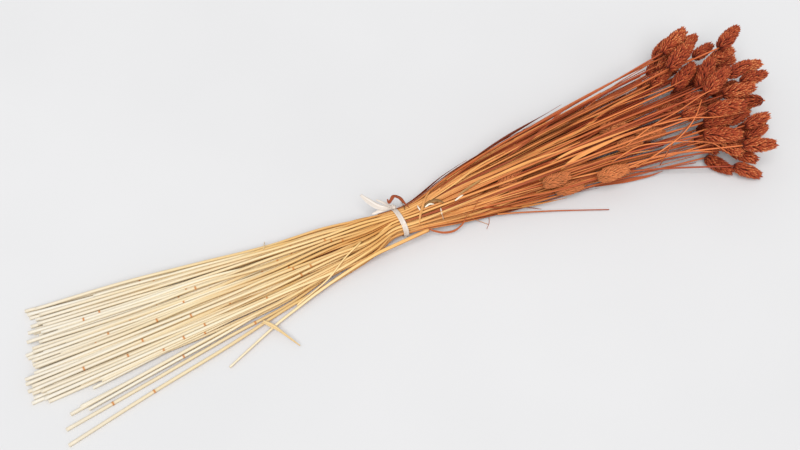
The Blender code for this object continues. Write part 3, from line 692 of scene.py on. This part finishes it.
# Painted shade: the colours that the undersides of leaves turn to
LEAF_UNDER_SHADE = (
    (-0.20, (180, 132, 76)), (-0.05, (160, 96, 44)), (0.10, (134, 62, 27)), (0.30, (106, 42, 19)),
)
OLIVE_LIGHT = ((-0.20, (196, 162, 108)), (0.20, (190, 142, 84)))
OLIVE_DARK = ((-0.20, (122, 88, 50)), (0.20, (108, 70, 36)))
WHITE_LIGHT = ((-0.20, (240, 234, 222)), (0.20, (240, 228, 206)))
WHITE_DARK = ((-0.20, (222, 204, 176)), (0.20, (214, 186, 150)))
RUST_LIGHT = ((-0.05, (196, 106, 58)), (0.30, (184, 88, 44)))
RUST_DARK = ((-0.05, (146, 66, 34)), (0.30, (120, 46, 24)))
# Painted shade on the undersides of rust leaves
RUST_UNDER_SHADE = ((-0.05, (108, 44, 24)), (0.30, (84, 30, 17)))
# Where on its way down a straw's side the painted shade of its underside sets in, and how much of it
UNDER_SHADE_FROM = (0.25, 0.62, 0.0, 0.85)
# A scale's colours from its foot to its tip, with painted shade at the overlapped foot and a painted
# highlight with the paler tip, and how far the heads among the stems are made paler
SCALE_SHADE_DYE_AND_HIGHLIGHT = (
    (0.0, (80, 27, 17)), (0.3, (126, 47, 26)), (0.6, (158, 64, 35)), (0.85, (186, 90, 50)),
    (1.0, (218, 136, 84)),
)
PALER_INNER_PAINT = (240, 158, 96)
PALER_INNER_SHARE = 0.42
PALER_INNER_FADE = 30 * MM


def along_bunch(finish, stops):
    share = finish.remap(finish.mark("reach").outputs["Fac"], *REACH)
    low, high = REACH
    return finish.ramp(share, [((at - low) / (high - low), colour(*paint)) for at, paint in stops])


def fibre_finish(name, light, dark, deep, rough, spot_paint):
    """Dyed straw or leaf: streaks along the fibres, painted shade on the underside, joints, a waxy skin.
    """
    finish = Finish(name)
    grain = finish.mark("grain").outputs["Vector"]
    streaks = finish.noise(grain, 1.0, (34, 2.6, 2.6), detail=4.0)
    patches = finish.noise(grain, 1.0, (11, 0.5, 0.5), detail=2.0)
    fine = finish.noise(grain, 1.0, (90, 9, 9), detail=2.0)
    tone = finish.mark("tone").outputs["Fac"]
    blend = finish.plus(finish.remap(streaks, 0.3, 0.7, -0.3, 0.3), tone)
    blend = finish.plus(finish.remap(patches, 0.3, 0.7, -0.25, 0.25), blend)
    skin = finish.mix(finish.remap(blend, 0.0, 1.0), along_bunch(finish, light), along_bunch(finish, dark))
    # Painted shade: the underside turns to the deep colour
    below = finish.remap(finish.mark("under").outputs["Fac"], *UNDER_SHADE_FROM)
    skin = finish.mix(below, skin, along_bunch(finish, deep))
    spot = finish.remap(finish.mark("spot").outputs["Fac"], 0.1, 0.9)
    skin = finish.mix(spot, skin, colour(*spot_paint))
    finish.skin(skin, finish.remap(fine, 0.3, 0.7, rough - 0.08, rough + 0.12))
    finish.shader.inputs["Specular IOR Level"].default_value = 0.3
    finish.bump(finish.plus(fine, streaks), 0.12 * MM, 0.7)
    return finish.material


def head_finish():
    """The scales of a seed head: painted shade where they overlap, orange at their tips, partly their
    paler tips and partly painted highlight.
    """
    finish = Finish("head_scales")
    grain = finish.mark("grain").outputs["Vector"]
    fine = finish.noise(grain, 1.0, (5, 3, 3), detail=3.0)
    wide = finish.noise(finish.add("ShaderNodeNewGeometry").outputs["Position"], 90.0, detail=2.0)
    blend = finish.plus(finish.mark("part").outputs["Fac"], finish.remap(fine, 0.3, 0.7, -0.12, 0.12))
    blend = finish.plus(blend, finish.remap(finish.mark("tone").outputs["Fac"], 0.0, 1.0, -0.20, 0.20))
    blend = finish.plus(blend, finish.remap(finish.mark("spot").outputs["Fac"], 0.0, 1.0, -0.12, 0.12))
    blend = finish.plus(blend, finish.remap(wide, 0.3, 0.7, -0.10, 0.10))
    # Painted shade at the scale feet, the rust dye, and a painted highlight with the paler tips
    skin = finish.ramp(blend, [(at, colour(*paint)) for at, paint in SCALE_SHADE_DYE_AND_HIGHLIGHT])
    reach = finish.mark("reach").outputs["Fac"]
    # The heads among the stems are mixed towards a paler orange
    inner = finish.remap(reach, INNER_HEADS, INNER_HEADS + PALER_INNER_FADE, PALER_INNER_SHARE, 0.0)
    skin = finish.mix(inner, skin, colour(*PALER_INNER_PAINT))
    finish.skin(skin, finish.remap(fine, 0.3, 0.7, 0.6, 0.85))
    finish.shader.inputs["Specular IOR Level"].default_value = 0.2
    finish.bump(fine, 0.15 * MM, 0.6)
    return finish.material


def ribbon_finish():
    """A thin, milky ribbon with lines along it."""
    finish = Finish("milky_ribbon")
    lines = finish.noise(finish.mark("grain").outputs["Vector"], 1.0, (20, 7, 7), detail=3.0)
    paint = finish.ramp(lines, ((0.25, colour(216, 198, 182)), (0.7, colour(240, 233, 225))))
    finish.skin(paint, finish.remap(lines, 0.3, 0.7, 0.25, 0.45))
    finish.shader.inputs["Transmission Weight"].default_value = 0.12
    finish.bump(lines, 0.1 * MM, 0.5)
    return finish.material


def make_stage():
    corners = [(x * FLOOR_HALF, y * FLOOR_HALF, 0) for x, y in ((-1, -1), (1, -1), (1, 1), (-1, 1))]
    mesh = bpy.data.meshes.new("floor")
    mesh.from_pydata(corners, [], [(0, 1, 2, 3)])
    floor = bpy.data.objects.new("floor", mesh)
    bpy.context.scene.collection.objects.link(floor)
    finish = Finish("pale_table")
    place = finish.add("ShaderNodeNewGeometry").outputs["Position"]
    cloud = finish.noise(place, 3.0)
    dull, pale = FLOOR_PAINT
    paint = finish.ramp(cloud, ((0.3, colour(*dull)), (0.7, colour(*pale))))
    finish.skin(paint, finish.remap(cloud, 0.3, 0.7, 0.7, 0.8))
    mesh.materials.append(finish.material)


def make_lights():
    world = bpy.data.worlds.new("studio")
    bpy.context.scene.world = world
    world.use_nodes = True
    background = world.node_tree.nodes["Background"]
    background.inputs["Color"].default_value = (1.0, 1.0, 1.0, 1.0)
    background.inputs["Strength"].default_value = ROOM_STRENGTH
    lamp = bpy.data.lights.new("key", "SUN")
    lamp.angle = KEY_WIDTH
    lamp.energy = KEY_STRENGTH
    key = bpy.data.objects.new("key", lamp)
    bpy.context.scene.collection.objects.link(key)
    key.location = KEY_FROM
    key.rotation_euler = (Vector((0, 0, 0)) - key.location).to_track_quat("-Z", "Y").to_euler()


def make_camera():
    data = bpy.data.cameras.new("camera")
    data.lens = CAMERA_LENS
    camera = bpy.data.objects.new("camera", data)
    bpy.context.scene.collection.objects.link(camera)
    camera.location = Vector(TIE + CAMERA_AT)
    looks = Vector(TIE + CAMERA_LOOKS_AT) - camera.location
    camera.rotation_euler = looks.to_track_quat("-Z", "Y").to_euler()
    bpy.context.scene.camera = camera


make_camera()
make_lights()
make_stage()
bpy.context.scene.view_settings.view_transform = "Standard"

STRAW = fibre_finish("straw", STRAW_LIGHT, STRAW_DARK, STRAW_UNDER_SHADE, 0.45, (196, 126, 62))
LEAF = fibre_finish("dry_leaf", LEAF_LIGHT, LEAF_DARK, LEAF_UNDER_SHADE, 0.5, (140, 80, 40))
# The olive and white leaves also use their dark colour as painted shade on their undersides
OLIVE = fibre_finish("olive_leaf", OLIVE_LIGHT, OLIVE_DARK, OLIVE_DARK, 0.5, (110, 70, 40))
WHITE = fibre_finish("white_leaf", WHITE_LIGHT, WHITE_DARK, WHITE_DARK, 0.45, (200, 170, 130))
RUST = fibre_finish("rust_leaf", RUST_LIGHT, RUST_DARK, RUST_UNDER_SHADE, 0.55, (110, 50, 26))
SCALES = head_finish()
RIBBON = ribbon_finish()
FIBRES = (STRAW, LEAF, OLIVE, WHITE, RUST)

stems = [Stem(name) for name in sorted(frame["nodes"]) if name.startswith("stalk_")]
heads = [Head(stem.middles[-1], stem.rest) for stem in stems]
top = Top(stems, heads)


def bunch_middle(x):
    """The middle of all the stems at each x."""
    return np.mean([stem.line(np.clip(x, stem.low, stem.high)) for stem in stems], axis=0)


def outward(line, x):
    """The way from the middle of the bunch out through a line, leaning upwards."""
    out = line - bunch_middle(x)
    out[:, 0] = 0
    out[:, 2] += 6 * MM
    return unit(out)


inner_heads = [head for head in heads if head.foot[0] < TIE[0] + INNER_HEADS]
across = np.argsort([-head.foot[1] for head in heads])
edge_stems = across[:EDGE_STEMS]
covered_stems = across[:-BARE_STEMS]


def hides_head(path):
    """Whether a path runs over one of the heads among the stems, as the camera sees them."""
    for head in inner_heads:
        height = head.foot[2] + head.axis[2] * head.length / 2
        over = path[path[:, 2] > height - head.radius / 2]
        if len(over):
            away = np.array([seen_at(place, height) for place in over]) - head.foot
            along = away @ head.axis
            off = np.linalg.norm((away - np.outer(along, head.axis))[:, :2], axis=1)
            if np.any((along > 0) & (along < head.length) & (off < head.radius)):
                return True
    return False


def add_leaf(shape, stem, random, start, long):
    """A dried leaf that lies along its stem, on the outside of the bunch."""
    end = min(start + long, stem.high - 10 * MM)
    if end - start < 40 * MM:
        return
    x = np.linspace(start, end, 26)
    line = stem.line(x)
    out = outward(line, x)
    share = np.linspace(0, 1, len(x))
    lift = stem.radius(x) + (0.3 + 2.2 * np.sin(share * math.pi * 0.6) * random.uniform(0.4, 1.2)) * MM
    path = line + out * lift[:, None]
    path[:, 1] += share ** 2 * random.normal(0, 3.0) * MM
    path[:, 2] = np.maximum(path[:, 2], 3 * MM)
    halves = random.uniform(0.8, 1.7) * MM * np.array(LEAF_TAPER)
    twist = random.normal(0, 0.5) * np.sin(share * math.pi * random.uniform(0.6, 1.6))
    kind = RUST_KIND if random.uniform() < RUST_SHARE else LEAF_KIND
    if not hides_head(path):
        add_strip(shape, path, halves, out, random, fold=random.uniform(0.2, 0.7), kind=kind, twist=twist)


def add_stem(number, stem, random):
    """The straw in place of a packed stalk, with the leaves that grow from it."""
    shape = Shape()
    length = stem.high - stem.low
    tie = TIE[0] - stem.low
    joints = tie + np.array([random.uniform(*span) for span in JOINT_SPANS])
    joints = joints[(joints > 0) & (random.uniform(size=len(joints)) < JOINTS_SHOWN)]
    add_straw(
        shape, lambda share: stem.line(stem.low + share * length),
        lambda share: stem.radius(stem.low + share * length), length, random, joints,
    )
    for _ in range(random.integers(1, 3)):
        add_leaf(shape, stem, random, TIE[0] + random.uniform(-0.02, 0.10), random.uniform(0.08, 0.19))
    shape.build(f"stem_{number:02d}", FIBRES, [stem.name])


for number, (stem, head) in enumerate(zip(stems, heads), start=1):
    random = np.random.default_rng(number)
    add_stem(number, stem, random)
    shape = Shape()
    add_head(shape, head, random)
    shape.build(f"seed_head_{number:02d}", (SCALES,), [stem.name])


class Mixed:
    """A line that keeps its share of the way from one stem to another.

    From the tie to the heads it sinks to the share flat of their height.
    """

    def __init__(self, random, among=None, flat=1.0):
        while True:
            one, other = random.choice(len(stems) if among is None else among, 2, replace=False)
            if np.linalg.norm((heads[one].foot - heads[other].foot)[1:]) < NEIGHBOURS:
                break
        self.pair = stems[one], stems[other]
        self.share = random.uniform(0.1, 0.9)
        self.flat = flat
        self.low = max(stem.low for stem in self.pair)
        self.high = min(stem.high for stem in self.pair)

    def line(self, x):
        one, other = self.pair
        places = one.line(x) * (1 - self.share) + other.line(x) * self.share
        places[:, 0] = x
        sunk = (1 - self.flat) * np.clip((x - TIE[0]) / SUNK_AT, 0, 1)
        places[:, 2] = np.maximum(places[:, 2] * (1 - sunk), MM)
        return places


def add_mixed_straw(shape, mixed, start, end, radii, random, tone=None, shy=False):
    """A straw without a head, between two stems. A shy one is left out where it hides a head."""
    length = end - start
    joints = random.uniform(0.05, 0.6, 1) * length
    if shy and hides_head(mixed.line(np.linspace(start, end, 60))):
        return
    add_straw(
        shape, lambda share: mixed.line(start + share * length),
        lambda share: np.interp(share, (0, 1), radii), length, random, joints, tone=tone,
    )


def add_mixed_leaf(shape, mixed, start, long, wide, random, kind=LEAF_KIND, tone=None):
    """A leaf between two stems."""
    x = np.linspace(start, start + long, 22)
    share = np.linspace(0, 1, len(x))
    path = mixed.line(x)
    path[:, 1] += share ** 2 * random.normal(0, 4.0) * MM
    path[:, 2] = np.maximum(path[:, 2] + random.uniform(-1, 2) * MM, 3 * MM)
    twist = random.normal(0, 0.6) * np.sin(share * math.pi * random.uniform(0.6, 1.6))
    tone = random.uniform() if tone is None else tone
    fold = random.uniform(0.2, 0.6)
    if not hides_head(path):
        add_strip(shape, path, wide * np.array(LEAF_TAPER), outward(path, x), random,
                  fold=fold, kind=kind, twist=twist, tone=tone)


def add_fillers():
    """Straws and leaves without heads, which fill the bunch between its stems."""
    random = np.random.default_rng(700)
    for group in range(FILLER_GROUPS):
        shape = Shape()
        for index in range((LONG_STRAWS + DARK_STRAWS) // FILLER_GROUPS):
            mixed = Mixed(random)
            start = mixed.low + random.uniform(0, 60) * MM
            end = min(TIE[0] + random.uniform(100, 250) * MM, mixed.high)
            dark = index < DARK_STRAWS // FILLER_GROUPS
            radii = (0.75 * MM, 0.5 * MM) if dark else (1.35 * MM, 0.75 * MM)
            add_mixed_straw(shape, mixed, start, end, radii, random, 1.3 if dark else None)
        shape.build(f"straws_{group + 1}", FIBRES)
        shape = Shape()
        for _ in range(FINE_STRAWS // FILLER_GROUPS):
            mixed = Mixed(random, edge_stems if random.uniform() < EDGE_SHARE else None)
            start = TIE[0] + random.uniform(-20, 60) * MM
            end = mixed.high - random.uniform(5, 60) * MM
            radii = (0.85 * MM, random.uniform(0.35, 0.5) * MM)
            add_mixed_straw(shape, mixed, start, end, radii, random, random.uniform(0, 1.3), shy=True)
        for _ in range(INNER_LEAVES // FILLER_GROUPS):
            mixed = Mixed(random)
            start = TIE[0] + random.uniform(-10, 150) * MM
            long = min(random.uniform(70, 170) * MM, mixed.high - start)
            kind = RUST_KIND if random.uniform() < RUST_SHARE else LEAF_KIND
            add_mixed_leaf(shape, mixed, start, long, random.uniform(0.8, 1.7) * MM, random, kind)
        for _ in range(LOW_STRAWS // FILLER_GROUPS):
            mixed = Mixed(random, covered_stems, random.uniform(0.15, 0.8))
            start = TIE[0] + random.uniform(0, 100) * MM
            end = mixed.high + random.uniform(-35, 12) * MM
            radii = (0.9 * MM, random.uniform(0.5, 0.8) * MM)
            add_mixed_straw(shape, mixed, start, end, radii, random, random.uniform(0.7, 1.4), shy=True)
        for _ in range(LOW_LEAVES // FILLER_GROUPS):
            mixed = Mixed(random, covered_stems, random.uniform(0.25, 0.6))
            end = mixed.high - random.uniform(0, 25) * MM
            long = random.uniform(100, 180) * MM
            wide = random.uniform(1.2, 2.0) * MM
            add_mixed_leaf(shape, mixed, end - long, long, wide, random, RUST_KIND, 0.9)
        shape.build(f"fine_straws_{group + 1}", FIBRES)


def add_tube(shape, path, radii, random, kind=0, tone=None, hollow=0.0):
    """A thin straw along a path."""
    share = np.linspace(0, 1, len(path))
    radii = np.interp(share, np.linspace(0, 1, len(radii)), radii) * MM
    rings, angles = round_rings(path, radii, STRAW_SIDES, hollow=hollow)
    inside = [0.0, 0.0] if hollow else []
    share = np.concatenate([inside, share])
    length = np.concatenate([inside, lengths_along(path)])
    tone = random.uniform() if tone is None else tone
    grain = straw_grain(length, angles, random.uniform(0, 50))
    shape.loft(rings, grain, tone, share, under=underside(angles), kind=kind)


def add_crossing_straws():
    """Thin straws that lie over the others and over the seed heads."""
    random = np.random.default_rng(710)
    shape = Shape()
    for first, last, tone, rounds, sunk, route in CROSSING_STRAWS:
        path = top.lay(route, 40, 0.6 * MM + last * MM, rounds, sunk)
        add_tube(shape, path, (first, last), random, tone=tone)
    shape.build("crossing_straws", FIBRES)


def add_top_leaves():
    """The broad golden leaves that lie on top of the stems."""
    random = np.random.default_rng(720)
    shape = Shape()
    for half, tone, kind, sunk, route in TOP_LEAVES:
        path = top.lay(route, 40, 1.0 * MM, 6, sunk)
        halves = half * MM * np.array(LEAF_TAPER)
        twist = random.normal(0, 0.25)
        add_strip(shape, path, halves, (0, 0, 1), random, fold=0.3, kind=kind, tone=tone, twist=twist)
    shape.build("top_leaves", FIBRES)


def add_curls():
    """Small curled scraps of leaf on the bunch, and a white strip on one of them as its painted highlight.
    """
    random = np.random.default_rng(730)
    shape = Shape()
    for half, tone, kind, arch, facing, route in CURLS:
        path = top.lay(route, 24, 0.5 * MM + half * 0.3 * MM, 6)
        rise = arch * MM * np.sin(np.linspace(0, math.pi, len(path)))
        path = np.array([seen_at(place, place[2] + up) for place, up in zip(path, rise)])
        halves = half * MM * np.array((0.4, 0.9, 1.0, 1.0, 0.8, 0.25))
        add_strip(shape, path, halves, facing, random, fold=0.25, kind=kind, tone=tone)
    shape.build("curled_scraps", FIBRES)


def band_path(offset, lean, grow):
    """A turn of ribbon round the stems, which starts and ends under them."""
    turn = np.linspace(0, 2 * math.pi + BAND_LAP, 70)
    x = offset + lean * np.sin(turn)
    y = (TIE_HALF_WIDTH + grow) * np.sin(turn)
    z = TIE_MIDDLE - (TIE_HALF_HEIGHT + grow) * np.cos(turn)
    return from_tie(np.column_stack([x, y, np.maximum(z, BAND_LOWEST + grow)]))


def add_tie():
    """Strands of milky ribbon round the stems, with their knot and two loose tails."""
    random = np.random.default_rng(740)
    shape = Shape()
    for offset, lean, grow, half in BANDS:
        path = band_path(offset, lean, grow)
        away = path - from_tie((0, 0, TIE_MIDDLE))
        away[:, 0] = 0
        add_strip(shape, path, (half * MM, half * MM), away, random, thick=0.3 * MM, fold=0.12, kind=0)
    for middle, sizes, tilt in KNOT_TURNS:
        turn = np.linspace(0, 2 * math.pi + 0.3, 26)
        high = sizes[1] * np.cos(turn)
        ring = np.column_stack([sizes[0] * np.sin(turn), high * math.cos(tilt), high * math.sin(tilt)])
        path = from_tie(ring + np.array(middle))
        away = path - from_tie(middle)
        add_strip(shape, path, (KNOT_HALF, KNOT_HALF), away, random, thick=0.35 * MM, fold=0.2, kind=0)
    for halves, facing, route in TAILS:
        path = smooth_path(from_tie(route), 30)
        add_strip(shape, path, np.array(halves) * MM, facing, random, thick=0.25 * MM, fold=0.25, kind=0)
    shape.build("ribbon", (RIBBON,), ["tie"])


def loose_strip(name, guess, halves, facing, kind, tone, random):
    """A packed leaf, on the line that its solid was given."""
    guess = np.array(guess, float) * MM
    solid = node_points(name).mean(axis=0)
    path = smooth_path(guess - guess.mean(axis=0) + solid, 36)
    shape = Shape()
    add_strip(shape, path, np.array(halves) * MM, facing, random, fold=0.3, kind=kind, tone=tone)
    shape.build(name + "_blade", FIBRES, [name])


def add_loose_pieces():
    """The stray straws, leaves and the seed head that the bunch has dropped."""
    random = np.random.default_rng(750)
    for name, guess, halves, facing, kind, tone in LOOSE_LEAVES:
        loose_strip(name, guess, halves, facing, kind, tone, random)
    for name, hollow in (("broken_straw", CUT_DEPTH), ("thin_straw", 0.0)):
        stem = Stem(name)
        x = np.linspace(stem.high, stem.low, 60)
        shape = Shape()
        tone = 0.15 if hollow else 0.8
        add_tube(shape, stem.line(x), stem.radius(x) / MM, random, tone=tone, hollow=hollow)
        shape.build(name + "_skin", FIBRES, [name])
    points = node_points("loose_head")
    nearest = np.argsort(np.linalg.norm(points - from_tie(LOOSE_STUB), axis=1))[:RING_POINTS]
    stub = points[nearest].mean(axis=0)
    head = Head(stub, points)
    head.foot = stub + head.axis * LOOSE_STUB_LENGTH
    head.length -= LOOSE_STUB_LENGTH
    shape = Shape()
    add_head(shape, head, random)
    path = np.array([stub - head.axis * 0.2 * MM, stub, stub + head.axis * LOOSE_STUB_LENGTH * 1.5])
    add_tube(shape, path, (0.8, 0.8, 0.8), random, kind=1)
    shape.build("dropped_head", (SCALES, STRAW), ["loose_head"])


add_fillers()
add_crossing_straws()
add_top_leaves()
add_curls()
add_tie()
add_loose_pieces()
